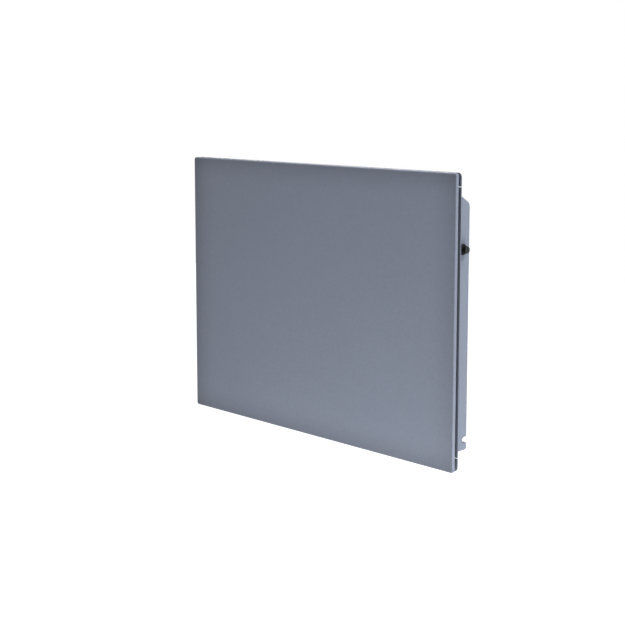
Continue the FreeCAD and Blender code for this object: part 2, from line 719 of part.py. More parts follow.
def control_partition():
    """Folded wall between the heating space and the control space, following the casing's inside."""
    x1 = PARTITION_X + PARTITION_FOOT
    line = ((x1, BACK_INNER_Y), (PARTITION_X, BACK_INNER_Y), (PARTITION_X, FLANGE_Y))
    folded = along_z(sheet_face("xy", line, (PARTITION_BEND_R,), PARTITION_SHEET), BOTTOM_Z, TOP_Z)
    top = TOP_Z - SLOPE_FRONT_DROP - PARTITION_CLEARANCE
    rear_top = TOP_Z - SLOPE_REAR_DROP - PARTITION_CLEARANCE
    floor = FLOOR_Z + PARTITION_CLEARANCE
    corners = [(FLANGE_Y, top), (BACK_INNER_Y, rear_top), (BACK_INNER_Y, floor), (FLANGE_Y, floor)]
    inside = outline_face("yz", corners, [0, REAR_TOP_BEND_R, REAR_BOTTOM_BEND_R, 0])
    holes = [inner_stud_hole(*place) for place in inner_fixings()]
    holes.append(bar(grommet_at(-CUT_OVERRUN), grommet_at(CUT_OVERRUN), GROMMET_NECK_R + GROMMET_CLEARANCE))
    return folded.common(along_x(inside, PARTITION_X, x1)).cut(holes)


def grommet_at(step):
    """Point on the grommet's axis, from the partition's left face."""
    return V(PARTITION_X + step, ELEMENT_Y, HEATER_PLUG_Z)


def partition_grommet():
    left = ring(grommet_at(-GROMMET_FLANGE), grommet_at(0), GROMMET_FLANGE_R, GROMMET_BORE_R)
    neck = ring(grommet_at(0), grommet_at(PARTITION_SHEET), GROMMET_NECK_R, GROMMET_BORE_R)
    far = PARTITION_SHEET + GROMMET_FLANGE
    right = ring(grommet_at(PARTITION_SHEET), grommet_at(far), GROMMET_FLANGE_R, GROMMET_BORE_R)
    return left.fuse([neck, right]).removeSplitter()


# Heating element

def element_at(x):
    """Point on the heating element's axis."""
    return V(x, ELEMENT_Y, ELEMENT_Z)


def bracket_x(side):
    """Inner face of the left (-1) or right (1) element bracket's upright."""
    return ELEMENT_X + side * BRACKET_SPAN / 2


def element_fins():
    x0 = ELEMENT_X - FIN_LENGTH / 2
    x1 = ELEMENT_X + FIN_LENGTH / 2
    tube = bar(element_at(x0), element_at(x1), FIN_TUBE_R)
    web = box(x0, x1, ELEMENT_Y - FIN_WEB / 2, ELEMENT_Y + FIN_WEB / 2,
              ELEMENT_Z - FIN_HALF_HEIGHT, ELEMENT_Z + FIN_HALF_HEIGHT)
    ribs = []
    for side in (-1, 1):
        for index in range(FIN_RIB_COUNT):
            z = ELEMENT_Z + side * (FIN_HALF_HEIGHT - FIN_RIB / 2 - index * FIN_RIB_PITCH)
            ribs.append(box(x0, x1, ELEMENT_Y - FIN_HALF_DEPTH, ELEMENT_Y + FIN_HALF_DEPTH,
                            z - FIN_RIB / 2, z + FIN_RIB / 2))
    bore = bar(element_at(x0), element_at(x1), ROD_R + ROD_CLEARANCE)
    return tube.fuse([web] + ribs).removeSplitter().cut(bore)


def element_rod():
    return bar(element_at(ELEMENT_X - ROD_LENGTH / 2), element_at(ELEMENT_X + ROD_LENGTH / 2), ROD_R)


def element_end(side, start, length, radius):
    """Short bar beyond one end of the rod, which starts at a distance from that end."""
    x = ELEMENT_X + side * (ROD_LENGTH / 2 + start)
    return bar(element_at(x), element_at(x + side * length), radius)


def element_insulators():
    return group([element_end(side, 0, INSULATOR_LENGTH, INSULATOR_R) for side in (-1, 1)])


def element_pins():
    return group([element_end(side, INSULATOR_LENGTH, PIN_LENGTH, PIN_R) for side in (-1, 1)])


def pin_tip_x(side):
    """Outer end of a terminal pin."""
    return ELEMENT_X + side * (ROD_LENGTH / 2 + INSULATOR_LENGTH + PIN_LENGTH)


def element_bracket(side):
    """Angle bracket that carries one end of the element, with its foot turned away from the element."""
    x = bracket_x(1)
    line = ((x + BRACKET_FOOT, BACK_INNER_Y), (x, BACK_INNER_Y), (x, -BRACKET_REACH))
    section = sheet_face("xy", line, (BRACKET_BEND_R,), BRACKET_SHEET)
    bracket = along_z(section, ELEMENT_Z - BRACKET_HEIGHT / 2, ELEMENT_Z + BRACKET_HEIGHT / 2)
    if side < 0:
        bracket = bracket.mirror(V(ELEMENT_X, 0, 0), V(1, 0, 0))
    near = element_at(bracket_x(side) - CUT_OVERRUN)
    far = element_at(bracket_x(side) + CUT_OVERRUN)
    holes = [inner_stud_hole(*place) for place in inner_fixings()]
    return bracket.cut([bar(near, far, BUSH_R + BUSH_CLEARANCE)] + holes)


def element_bush(side):
    """Flanged bush between the rod and a bracket."""
    x = bracket_x(side)
    inner = element_at(x - side * BUSH_FLANGE)
    outer = element_at(x + side * (BUSH_LENGTH - BUSH_FLANGE))
    body = bar(inner, element_at(x), BUSH_FLANGE_R).fuse(bar(inner, outer, BUSH_R)).removeSplitter()
    return body.cut(bar(inner, outer, ROD_R + ROD_CLEARANCE))


def heat_shield():
    top = ELEMENT_Z + SHIELD_HEIGHT / 2
    bottom = ELEMENT_Z - SHIELD_HEIGHT / 2
    foot = BACK_INNER_Y - SHIELD_SHEET
    face = foot - SHIELD_STANDOFF
    line = ((foot, SHIELD_TOP_Z), (foot, top), (face, top), (face, bottom), (foot, bottom),
            (foot, bottom - SHIELD_FOOT))
    section = sheet_face("yz", line, (SHIELD_BEND_R,) * 4, SHIELD_SHEET)
    return along_x(section, ELEMENT_X - SHIELD_LENGTH / 2, ELEMENT_X + SHIELD_LENGTH / 2)


# Overheat limiter

def limiter_at(rise):
    """Point on the limiter's axis, from the top of its shelf."""
    return V(LIMITER_X, ELEMENT_Y, LIMITER_SHELF_Z + rise)


def limiter_rivet_places():
    return [limiter_at(0) + V(side * LIMITER_RIVET_OFFSET, 0, 0) for side in (-1, 1)]


def limiter_rivet_hole(place):
    reach = V(0, 0, LIMITER_BRACKET_SHEET + LIMITER_EAR + CUT_OVERRUN)
    return bar(place - reach, place + reach, LIMITER_RIVET_R + RIVET_CLEARANCE)


def limiter_bracket():
    foot = BACK_INNER_Y - LIMITER_BRACKET_SHEET
    line = ((foot, LIMITER_SHELF_Z + LIMITER_BRACKET_FOOT), (foot, LIMITER_SHELF_Z),
            (-LIMITER_BRACKET_REACH, LIMITER_SHELF_Z))
    section = sheet_face("yz", line, (LIMITER_BRACKET_BEND_R,), LIMITER_BRACKET_SHEET)
    half = LIMITER_BRACKET_WIDTH / 2
    holes = [inner_stud_hole(*place) for place in inner_fixings()]
    holes += [limiter_rivet_hole(place) for place in limiter_rivet_places()]
    neck_r = LIMITER_NECK_R + LIMITER_NECK_CLEARANCE
    holes.append(bar(limiter_at(-CUT_OVERRUN), limiter_at(CUT_OVERRUN), neck_r))
    return along_x(section, LIMITER_X - half, LIMITER_X + half).cut(holes)


def limiter_body():
    under = -LIMITER_BRACKET_SHEET
    ear_z = LIMITER_SHELF_Z + under
    half_length = LIMITER_EAR_LENGTH / 2
    half_width = LIMITER_EAR_WIDTH / 2
    ears = box(LIMITER_X - half_length, LIMITER_X + half_length, ELEMENT_Y - half_width,
               ELEMENT_Y + half_width, ear_z - LIMITER_EAR, ear_z)
    neck = bar(limiter_at(under), limiter_at(LIMITER_NECK_HEIGHT), LIMITER_NECK_R)
    drum = bar(limiter_at(under), limiter_at(under - LIMITER_HEIGHT), LIMITER_R)
    body = drum.fuse([neck, ears]).removeSplitter()
    return body.cut([limiter_rivet_hole(place) for place in limiter_rivet_places()])


def limiter_cap():
    under = -LIMITER_BRACKET_SHEET - LIMITER_HEIGHT
    return bar(limiter_at(under), limiter_at(under - LIMITER_CAP_HEIGHT), LIMITER_CAP_R)


def limiter_spade(side):
    x = LIMITER_X + side * LIMITER_SPADE_OFFSET
    z = LIMITER_SHELF_Z + LIMITER_NECK_HEIGHT
    return box(x - LIMITER_SPADE_SHEET / 2, x + LIMITER_SPADE_SHEET / 2, ELEMENT_Y - LIMITER_SPADE_WIDTH / 2,
               ELEMENT_Y + LIMITER_SPADE_WIDTH / 2, z, SPADE_TOP_Z)


def limiter_rivet(place):
    low = place - V(0, 0, LIMITER_BRACKET_SHEET + LIMITER_EAR)
    head = V(0, 0, LIMITER_RIVET_HEAD_HEIGHT)
    heads = [bar(place, place + head, LIMITER_RIVET_HEAD_R), bar(low - head, low, LIMITER_RIVET_HEAD_R)]
    return bar(low, place, LIMITER_RIVET_R).fuse(heads).removeSplitter()


# Rotary control and knob

def control_at(x):
    """Point on the control's axis."""
    return V(x, KNOB_Y, KNOB_Z)


def flat_bar(x0, x1, radius, flat):
    """Round bar along the control's axis with a flat on its lower side."""
    keep = box(x0, x1, KNOB_Y - radius, KNOB_Y + radius, KNOB_Z - flat, KNOB_Z + radius)
    return bar(control_at(x0), control_at(x1), radius).common(keep)


def bush_end_x():
    return CASING_END_X + CONTROL_BUSH_LENGTH


def shaft_end_x():
    return KNOB_TIP_X - KNOB_TIP_WALL


def control_shaft():
    """Shaft with the rotor of the control on its inner end, and a flat for the knob on its outer end."""
    inner = CONTROL_REAR_X + CONTROL_WALL + SHAFT_CLEARANCE
    rotor = bar(control_at(inner), control_at(inner + CONTROL_ROTOR), CONTROL_ROTOR_R)
    round_part = bar(control_at(inner), control_at(bush_end_x()), SHAFT_R)
    flat_part = flat_bar(bush_end_x(), shaft_end_x(), SHAFT_R, SHAFT_FLAT)
    return rotor.fuse([round_part, flat_part]).removeSplitter()


def control_body():
    rear = CONTROL_REAR_X + CONTROL_WALL
    drum = bar(control_at(rear), control_at(CASING_END_X), CONTROL_BODY_R)
    bush = bar(control_at(CASING_END_X), control_at(bush_end_x()), CONTROL_BUSH_R)
    half_foot = CONTROL_FOOT_WIDTH / 2
    foot = box(rear, rear + CONTROL_FOOT_LENGTH, KNOB_Y - half_foot, KNOB_Y + half_foot,
               KNOB_Z - CONTROL_FOOT_DROP, KNOB_Z)
    cavity = bar(control_at(rear), control_at(CASING_END_X - CONTROL_WALL), CONTROL_CAVITY_R)
    bore = bar(control_at(rear), control_at(bush_end_x()), SHAFT_R + SHAFT_CLEARANCE)
    return drum.fuse([bush, foot]).removeSplitter().cut([cavity, bore])


def control_cover():
    return bar(control_at(CONTROL_REAR_X), control_at(CONTROL_REAR_X + CONTROL_WALL), CONTROL_BODY_R)


def control_washer():
    outer = control_at(END_PLATE_X + CONTROL_WASHER)
    return ring(control_at(END_PLATE_X), outer, CONTROL_WASHER_R, CONTROL_BUSH_R + SCREW_CLEARANCE)


def control_nut():
    seat = control_at(END_PLATE_X + CONTROL_WASHER)
    end = control_at(END_PLATE_X + CONTROL_WASHER + CONTROL_NUT_HEIGHT)
    return hexagon(seat, end, CONTROL_NUT_ACROSS_FLATS).cut(bar(seat, end, CONTROL_BUSH_R + SCREW_CLEARANCE))


def thermostat_knob():
    """Hollow knob with a flared skirt that hides the nut, and a sunk mark on its end."""
    def at(x, radius):
        return V(x, KNOB_Y, KNOB_Z + radius)

    edge_x = KNOB_BASE_X + KNOB_SKIRT_EDGE
    neck_x = KNOB_BASE_X + KNOB_SKIRT_HEIGHT
    flare_x = edge_x + (neck_x - edge_x) * KNOB_FLARE_SHARE
    flare_r = KNOB_BODY_R + (KNOB_SKIRT_R - KNOB_BODY_R) * KNOB_FLARE_SHARE
    flare = Part.Arc(at(edge_x, KNOB_SKIRT_R), at(flare_x, flare_r), at(neck_x, KNOB_BODY_R)).toShape()
    rim = path_edges([at(neck_x, KNOB_BODY_R), at(KNOB_TIP_X, KNOB_TIP_R), at(KNOB_TIP_X, 0)],
                     [0, KNOB_EDGE_R, 0])
    foot = path_edges([at(KNOB_TIP_X, 0), at(KNOB_BASE_X, 0), at(KNOB_BASE_X, KNOB_SKIRT_R),
                       at(edge_x, KNOB_SKIRT_R)], [0, 0, 0, 0])
    half = Part.Face(Part.Wire([flare] + rim + foot))
    body = half.revolve(control_at(0), V(1, 0, 0), 360)
    hollow = bar(control_at(KNOB_BASE_X), control_at(KNOB_BASE_X + KNOB_HOLLOW_DEPTH), KNOB_HOLLOW_R)
    bore = flat_bar(KNOB_BASE_X, shaft_end_x() + SHAFT_CLEARANCE, SHAFT_R + SHAFT_CLEARANCE,
                    SHAFT_FLAT + SHAFT_CLEARANCE)
    mark = box(KNOB_TIP_X - KNOB_MARK_DEPTH, KNOB_TIP_X + CUT_OVERRUN, KNOB_Y - KNOB_MARK_WIDTH / 2,
               KNOB_Y + KNOB_MARK_WIDTH / 2, KNOB_Z, KNOB_Z + KNOB_BODY_R)
    return body.cut([hollow, bore, mark])


# Circuit board

def board_holes():
    """Centre of every fixing hole, on the back face of the board."""
    across = BOARD_WIDTH / 2 - BOARD_HOLE_INSET
    up = BOARD_HEIGHT / 2 - BOARD_HOLE_INSET
    return [V(BOARD_X + a * across, BOARD_BACK_Y, BOARD_Z + b * up) for a in (-1, 1) for b in (-1, 1)]


def circuit_board():
    board = box(BOARD_LEFT_X, BOARD_RIGHT_X, BOARD_FRONT_Y, BOARD_BACK_Y, BOARD_BOTTOM_Z, BOARD_TOP_Z)
    through = V(0, BOARD_THICKNESS, 0)
    return board.cut([bar(hole, hole - through, BOARD_SCREW_R + SCREW_CLEARANCE) for hole in board_holes()])


def board_spacer(hole):
    return ring(hole, V(hole.x, BACK_INNER_Y, hole.z), BOARD_SPACER_R, BOARD_SCREW_R + SCREW_CLEARANCE / 2)


def board_screw(hole):
    seat = hole - V(0, BOARD_THICKNESS, 0)
    shank = bar(seat, seat + V(0, BOARD_SCREW_LENGTH, 0), BOARD_SCREW_R)
    head = bar(seat, seat - V(0, BOARD_SCREW_HEAD_HEIGHT, 0), BOARD_SCREW_HEAD_R)
    return shank.fuse(head).removeSplitter()


def on_board(x, z, size):
    """Block soldered on the board's front, centred at a place. Its size is width, depth and height."""
    width, depth, height = size
    front = BOARD_FRONT_Y - depth
    return box(x - width / 2, x + width / 2, front, BOARD_FRONT_Y, z - height / 2, z + height / 2)


def board_place(shares):
    """Place on the board from shares of its width and height."""
    return BOARD_LEFT_X + BOARD_WIDTH * shares[0], BOARD_BOTTOM_Z + BOARD_HEIGHT * shares[1]


def fuse_axis(side):
    x, z = board_place(FUSE_PLACE_SHARES)
    return V(x + side * FUSE_LENGTH / 2, BOARD_FRONT_Y - FUSE_CLIP_HEIGHT, z)


def fuse():
    return bar(fuse_axis(-1), fuse_axis(1), FUSE_R)


def fuse_clips():
    x, z = board_place(FUSE_PLACE_SHARES)
    size = (FUSE_CLIP_LENGTH, FUSE_CLIP_HEIGHT, FUSE_CLIP_WIDTH)
    offset = (FUSE_LENGTH - FUSE_CLIP_LENGTH) / 2
    seat = bar(fuse_axis(-1), fuse_axis(1), FUSE_R + FUSE_CLEARANCE)
    return group([on_board(x + side * offset, z, size).cut(seat) for side in (-1, 1)])


def supply_plug_x():
    return BOARD_LEFT_X + SUPPLY_PLUG_INSET + SUPPLY_PLUG_SIZE[0] / 2


def board_plugs():
    """Supply and heater plugs, and the two headers for the control and the sensor."""
    plugs = [on_board(supply_plug_x(), BOARD_BOTTOM_Z + SUPPLY_PLUG_SIZE[2] / 2, SUPPLY_PLUG_SIZE)]
    plugs.append(on_board(BOARD_LEFT_X + HEATER_PLUG_SIZE[0] / 2, HEATER_PLUG_Z, HEATER_PLUG_SIZE))
    for drop in HEADER_DROPS:
        plugs.append(on_board(BOARD_RIGHT_X - HEADER_SIZE[0] / 2, BOARD_TOP_Z - drop, HEADER_SIZE))
    return group(plugs)


# Supply terminals, earth and sensor

def block_foot_x():
    """Fixing hole of the supply terminal block, on its left foot."""
    return BLOCK_X - BLOCK_WIDTH / 2 - BLOCK_FOOT_LENGTH / 2


def block_poles():
    return [BLOCK_X + step * BLOCK_POLE_SPACING for step in (-1, 0, 1)]


def block_screw(x, radius):
    """One clamping screw of the terminal block, sunk below its front face."""
    front = BACK_INNER_Y - BLOCK_DEPTH + BLOCK_SCREW_RECESS
    return bar(V(x, front, BLOCK_Z), V(x, front + BLOCK_SCREW_LENGTH, BLOCK_Z), radius)


def terminal_block():
    low = BLOCK_Z - BLOCK_HEIGHT / 2
    left = BLOCK_X - BLOCK_WIDTH / 2
    body = box(left, left + BLOCK_WIDTH, BACK_INNER_Y - BLOCK_DEPTH, BACK_INNER_Y, low, BLOCK_TOP_Z)
    foot = box(left - BLOCK_FOOT_LENGTH, left, BACK_INNER_Y - BLOCK_FOOT_THICKNESS, BACK_INNER_Y,
               low, BLOCK_TOP_Z)
    wells = []
    for x in block_poles():
        wells.append(block_screw(x, BLOCK_SCREW_R + BLOCK_SCREW_CLEARANCE))
        front = BACK_INNER_Y - BLOCK_DEPTH
        mouth = V(x, front - CUT_OVERRUN, BLOCK_Z)
        seat = V(x, front + BLOCK_SCREW_RECESS, BLOCK_Z)
        wells.append(bar(mouth, seat, BLOCK_SCREW_R + BLOCK_SCREW_CLEARANCE))
    wells.append(inner_stud_hole(block_foot_x(), BLOCK_Z, BLOCK_FOOT_THICKNESS))
    return body.fuse(foot).removeSplitter().cut(wells)


def barrel_bottom():
    """Lower end of the earth tag's crimped barrel."""
    drop = EARTH_TAG_R + EARTH_BARREL_R + EARTH_BARREL_LENGTH
    return V(EARTH_X, BACK_INNER_Y - EARTH_BARREL_R, EARTH_Z - drop)


def earth_tag():
    back = V(EARTH_X, BACK_INNER_Y, EARTH_Z)
    eye = bar(back, back - V(0, EARTH_TAG_SHEET, 0), EARTH_TAG_R)
    low = barrel_bottom()
    barrel = bar(low, low + V(0, 0, EARTH_BARREL_LENGTH), EARTH_BARREL_R)
    tongue = box(EARTH_X - EARTH_BARREL_R, EARTH_X + EARTH_BARREL_R, BACK_INNER_Y - EARTH_TAG_SHEET,
                 BACK_INNER_Y, low.z + EARTH_BARREL_LENGTH / 2, EARTH_Z)
    hole = inner_stud_hole(EARTH_X, EARTH_Z, EARTH_TAG_SHEET)
    return eye.fuse([barrel, tongue]).removeSplitter().cut(hole)


def sensor_at(x):
    return V(x, HEADER_Y, SENSOR_Z)


def room_sensor():
    return bar(sensor_at(SENSOR_X - SENSOR_LENGTH / 2), sensor_at(SENSOR_X + SENSOR_LENGTH / 2), SENSOR_R)


def sensor_clip():
    """Saddle on the underside of the control space, open at the top, that the sensor snaps into."""
    half = CLIP_LENGTH / 2
    block = box(SENSOR_X - half, SENSOR_X + half, HEADER_Y - CLIP_WIDTH / 2, HEADER_Y + CLIP_WIDTH / 2,
                FLOOR_Z, SENSOR_Z + SENSOR_R / 2)
    seat = bar(sensor_at(SENSOR_X - half), sensor_at(SENSOR_X + half), SENSOR_R + CLIP_CLEARANCE)
    return block.cut(seat)


# Wires

def supply_wire(pole_x, plug_side):
    """Wire from a pole of the terminal block up to the board's supply plug."""
    plug_x = supply_plug_x() + plug_side * SUPPLY_POLE_SPACING / 2
    plug_y = BOARD_FRONT_Y - SUPPLY_PLUG_SIZE[1] / 2
    pole_y = BACK_INNER_Y - BLOCK_POLE_DEPTH
    third = (BOARD_BOTTOM_Z - BLOCK_TOP_Z) / 3
    return wire([V(pole_x, pole_y, BLOCK_TOP_Z), V(pole_x, pole_y, BLOCK_TOP_Z + third),
                 V(plug_x, plug_y, BOARD_BOTTOM_Z - third), V(plug_x, plug_y, BOARD_BOTTOM_Z)])


def earth_wire():
    pole = V(block_poles()[2], BACK_INNER_Y - BLOCK_POLE_DEPTH, BLOCK_TOP_Z)
    end = barrel_bottom()
    turn = (BLOCK_TOP_Z + end.z) / 2
    return wire([pole, V(pole.x, pole.y, turn), V(end.x, end.y, turn), end])


def heater_wire():
    """From the board through the partition to the limiter."""
    x = LIMITER_X + LIMITER_SPADE_OFFSET
    return wire([V(BOARD_LEFT_X, ELEMENT_Y, LOWER_POLE_Z), V(x, ELEMENT_Y, LOWER_POLE_Z),
                 V(x, ELEMENT_Y, SPADE_TOP_Z)])


def limiter_wire():
    """From the limiter to the right end of the element."""
    x = LIMITER_X - LIMITER_SPADE_OFFSET
    top = SPADE_TOP_Z + LIMITER_LEAD_RISE
    front = -LIMITER_LEAD_DEPTH
    right = pin_tip_x(1) + LEAD_REACH
    return wire([V(x, ELEMENT_Y, SPADE_TOP_Z), V(x, ELEMENT_Y, top), V(x, front, top), V(right, front, top),
                 V(right, front, ELEMENT_Z), element_at(right), element_at(pin_tip_x(1))])


def return_wire():
    """From the left end of the element back to the board."""
    left = pin_tip_x(-1) - LEAD_REACH
    return wire([element_at(pin_tip_x(-1)), element_at(left), V(left, ELEMENT_Y, UPPER_POLE_Z),
                 V(BOARD_LEFT_X, ELEMENT_Y, UPPER_POLE_Z)])


def control_wire():
    header_z = BOARD_TOP_Z - HEADER_DROPS[0]
    return wire([V(LEAD_X, HEADER_Y, KNOB_Z - CONTROL_FOOT_DROP), V(LEAD_X, HEADER_Y, header_z),
                 V(BOARD_RIGHT_X, HEADER_Y, header_z)])


def sensor_wire():
    header_z = BOARD_TOP_Z - HEADER_DROPS[1]
    return wire([sensor_at(SENSOR_X + SENSOR_LENGTH / 2), sensor_at(LEAD_X), V(LEAD_X, HEADER_Y, header_z),
                 V(BOARD_RIGHT_X, HEADER_Y, header_z)])


def nodes():
    """Every node of the radiator and its shape."""
    studs = panel_stud_places()
    return {
        "front_panel": front_panel(),
        "panel_studs": group([panel_stud(place) for place in studs]),
        "panel_spacers": group([panel_spacer(place) for place in studs]),
        "panel_nuts": group([panel_nut(place) for place in studs]),
        "rear_casing": rear_casing(),
        "left_end_plate": mirrored(end_plate()),
        "right_end_plate": right_end_plate(),
        "casing_rivets": group([rivet(*place) for place in rivet_places()]),
        "casing_studs": group([inner_stud(*place) for place in inner_fixings()]),
        "casing_nuts": group([inner_nut(*place) for place in inner_fixings()]),
        "control_partition": control_partition(),
        "partition_grommet": partition_grommet(),
        "element_fins": element_fins(),
        "element_rod": element_rod(),
        "element_insulators": element_insulators(),
        "element_pins": element_pins(),
        "left_element_bracket": element_bracket(-1),
        "right_element_bracket": element_bracket(1),
        "element_bushes": group([element_bush(-1), element_bush(1)]),
        "heat_shield": heat_shield(),
        "limiter_bracket": limiter_bracket(),
        "limiter_body": limiter_body(),
        "limiter_cap": limiter_cap(),
        "limiter_spades": group([limiter_spade(-1), limiter_spade(1)]),
        "limiter_rivets": group([limiter_rivet(place) for place in limiter_rivet_places()]),
        "thermostat_knob": thermostat_knob(),
        "control_shaft": control_shaft(),
        "control_body": control_body(),
        "control_cover": control_cover(),
        "control_washer": control_washer(),
        "control_nut": control_nut(),
        "circuit_board": circuit_board(),
        "board_spacers": group([board_spacer(hole) for hole in board_holes()]),
        "board_screws": group([board_screw(hole) for hole in board_holes()]),
        "board_relay": on_board(*board_place(RELAY_PLACE_SHARES), RELAY_SIZE),
        "board_capacitor": on_board(*board_place(CAPACITOR_PLACE_SHARES), CAPACITOR_SIZE),
        "board_fuse": fuse(),
        "fuse_clips": fuse_clips(),
        "board_plugs": board_plugs(),
        "terminal_block": terminal_block(),
        "terminal_screws": group([block_screw(x, BLOCK_SCREW_R) for x in block_poles()]),
        "earth_tag": earth_tag(),
        "room_sensor": room_sensor(),
        "sensor_clip": sensor_clip(),
        "live_wire": supply_wire(block_poles()[0], -1),
        "neutral_wire": supply_wire(block_poles()[1], 1),
        "earth_wire": earth_wire(),
        "heater_wire": heater_wire(),
        "limiter_wire": limiter_wire(),
        "return_wire": return_wire(),
        "control_wire": control_wire(),
        "sensor_wire": sensor_wire(),
    }


os.makedirs("parts", exist_ok=True)
for name, shape in nodes().items():
    shape.exportStep(f"parts/{name}.step")
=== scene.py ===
# %% [markdown]
# # An electric panel radiator, dressed in Blender
# The radiator hangs on a wall. A plain steel front panel stands a few millimetres in front of a folded
# casing, and a small knob on the right side sets the room's temperature. The solids come from the CAD
# model and stay where they are. This lesson gives them their finishes, makes the front panel and the
# knob again with finer edges, and sets up the light and the camera.

# %% Load the CAD model
import json
import math

import bmesh
import bpy
from mathutils import Matrix, Vector


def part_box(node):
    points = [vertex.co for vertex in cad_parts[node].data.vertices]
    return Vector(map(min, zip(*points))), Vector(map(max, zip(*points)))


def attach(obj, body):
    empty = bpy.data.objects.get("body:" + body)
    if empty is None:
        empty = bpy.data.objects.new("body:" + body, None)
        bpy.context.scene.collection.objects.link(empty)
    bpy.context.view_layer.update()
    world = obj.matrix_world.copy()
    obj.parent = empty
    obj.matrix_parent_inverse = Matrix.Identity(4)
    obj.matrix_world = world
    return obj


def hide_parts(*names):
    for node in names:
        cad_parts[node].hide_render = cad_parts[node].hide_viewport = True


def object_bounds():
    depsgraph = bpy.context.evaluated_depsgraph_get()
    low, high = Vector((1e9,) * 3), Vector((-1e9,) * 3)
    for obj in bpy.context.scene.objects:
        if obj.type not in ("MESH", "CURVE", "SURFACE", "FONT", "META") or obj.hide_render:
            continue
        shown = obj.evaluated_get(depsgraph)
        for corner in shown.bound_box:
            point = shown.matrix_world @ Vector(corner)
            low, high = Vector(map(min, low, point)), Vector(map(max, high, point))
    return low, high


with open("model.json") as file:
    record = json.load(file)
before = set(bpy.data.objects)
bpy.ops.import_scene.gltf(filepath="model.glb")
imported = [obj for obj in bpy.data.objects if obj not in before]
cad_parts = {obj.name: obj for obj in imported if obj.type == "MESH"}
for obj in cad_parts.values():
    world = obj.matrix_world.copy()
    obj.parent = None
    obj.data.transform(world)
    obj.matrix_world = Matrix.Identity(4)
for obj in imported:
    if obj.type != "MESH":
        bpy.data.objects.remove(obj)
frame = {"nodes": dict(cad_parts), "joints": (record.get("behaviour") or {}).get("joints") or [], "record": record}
nodes = frame["nodes"]
cad_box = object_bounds()

# %% [markdown]
# Lengths on a drawing are in millimetres and Blender works in metres. One name for a millimetre lets the
# sizes below read as they would on the drawing. The Standard view transform shows a colour about as it is
# written.

# %% One millimetre
MM = 0.001
scene = bpy.context.scene
scene.view_settings.view_transform = "Standard"
low, high = (Vector(corner) for corner in cad_box)
print("size in mm:", [round(side / MM, 1) for side in high - low])

# %% [markdown]
# ## The camera
# The photograph is taken from the front right and a little above, with a fairly long lens, so that the
# panel's edges draw together gently. The place was worked out from the panel's four corners. The picture
# is shifted a little, as with a shift lens, because the panel sits above the middle of the frame.

# %% Camera
LENS = 74.36
SENSOR_WIDTH = 36.0
LENS_SHIFT = -0.1
CAMERA_PLACE = (1.491, -1.503, 0.241)
LOOK_DOWN = 7.26
LOOK_LEFT = 45.6

camera_data = bpy.data.cameras.new("photo_camera")
camera_data.lens = LENS
camera_data.sensor_width = SENSOR_WIDTH
camera_data.shift_y = LENS_SHIFT
camera = bpy.data.objects.new("photo_camera", camera_data)
camera.location = CAMERA_PLACE
camera.rotation_euler = (math.radians(90 - LOOK_DOWN), 0, math.radians(LOOK_LEFT))
scene.collection.objects.link(camera)
scene.camera = camera
print("camera stands", round((camera.location - (low + high) / 2).length, 2), "m away")

# %% [markdown]
# ## Shader maths as Python
# A finish is a little sum: a noise here, a share of a colour there. Wiring each Math node by hand hides
# the sum, so one small class wraps a socket, and Python's own signs add the nodes. Any other node comes
# from its `node` method, which sets the node's choices first and then its sockets.


# %% A socket that can be added and multiplied
class Field:
    def __init__(self, tree, socket=None):
        self.tree = tree
        self.socket = socket

    def node(self, kind, settings=None, values=None, out=0):
        made = self.tree.nodes.new(kind)
        for name, choice in (settings or {}).items():
            setattr(made, name, choice)
        for name, value in (values or {}).items():
            self.put(made.inputs[name], value)
        return Field(self.tree, made.outputs[out])

    def put(self, socket, value):
        if isinstance(value, Field):
            self.tree.links.new(value.socket, socket)
        else:
            socket.default_value = value

    def sum(self, operation, first, second):
        return self.node("ShaderNodeMath", {"operation": operation}, {0: first, 1: second})

    def __add__(self, other):
        return self.sum("ADD", self, other)

    __radd__ = __add__

    def __sub__(self, other):
        return self.sum("SUBTRACT", self, other)

    def __rsub__(self, other):
        return self.sum("SUBTRACT", other, self)

    def __mul__(self, other):
        return self.sum("MULTIPLY", self, other)

    __rmul__ = __mul__


print("Field can:", [name for name in vars(Field) if not name.startswith("__")])

# %% [markdown]
# Every finish starts from the same sheet of paper: a new material, its Principled shader and the
# object's own coordinates. Those are in metres and don't move with the camera, so a grain keeps its real
# size on every piece. A grain's scale is its number of lumps in a metre: 1000 of them are 1 mm each.


# %% A blank finish and its grain
def blank(name, **sockets):
    material = bpy.data.materials.new(name)
    material.use_nodes = True
    tree = material.node_tree
    shader = tree.nodes["Principled BSDF"]
    for socket, value in sockets.items():
        shader.inputs[socket.replace("_", " ")].default_value = value
    paper = Field(tree)
    place = paper.node("ShaderNodeTexCoord", out="Object")
    return material, paper, shader, place


def grain(paper, place, scale, detail=2.0):
    return paper.node("ShaderNodeTexNoise", None, {"Vector": place, "Scale": scale, "Detail": detail})


def mix(paper, share, first, second, blend="MIX"):
    settings = {"data_type": "RGBA", "blend_type": blend}
    return paper.node("ShaderNodeMix", settings, {0: share, 6: first, 7: second}, out=2)


def bump(paper, height, depth, strength):
    return paper.node("ShaderNodeBump", None, {"Height": height, "Distance": depth, "Strength": strength})


def shade(colour, share):
    return tuple(part * share for part in colour[:3]) + (1.0,)


print("half of white is", shade((1, 1, 1), 0.5))

# %% [markdown]
# ## Powder coat
# The sheets are sprayed with powder that melts in an oven into a satin skin. Close to, it has a fine
# pebbled grain of about a millimetre, a faint speckle and a mottle a few millimetres wide where the powder
# flowed. A noise drives a very shallow bump, the speckle and a little change of gloss. A last, much larger
# noise keeps the wide panel from looking printed. The shares of the four noises add up to more than one,
# so half of the surplus comes off again and the paint keeps its mean colour.

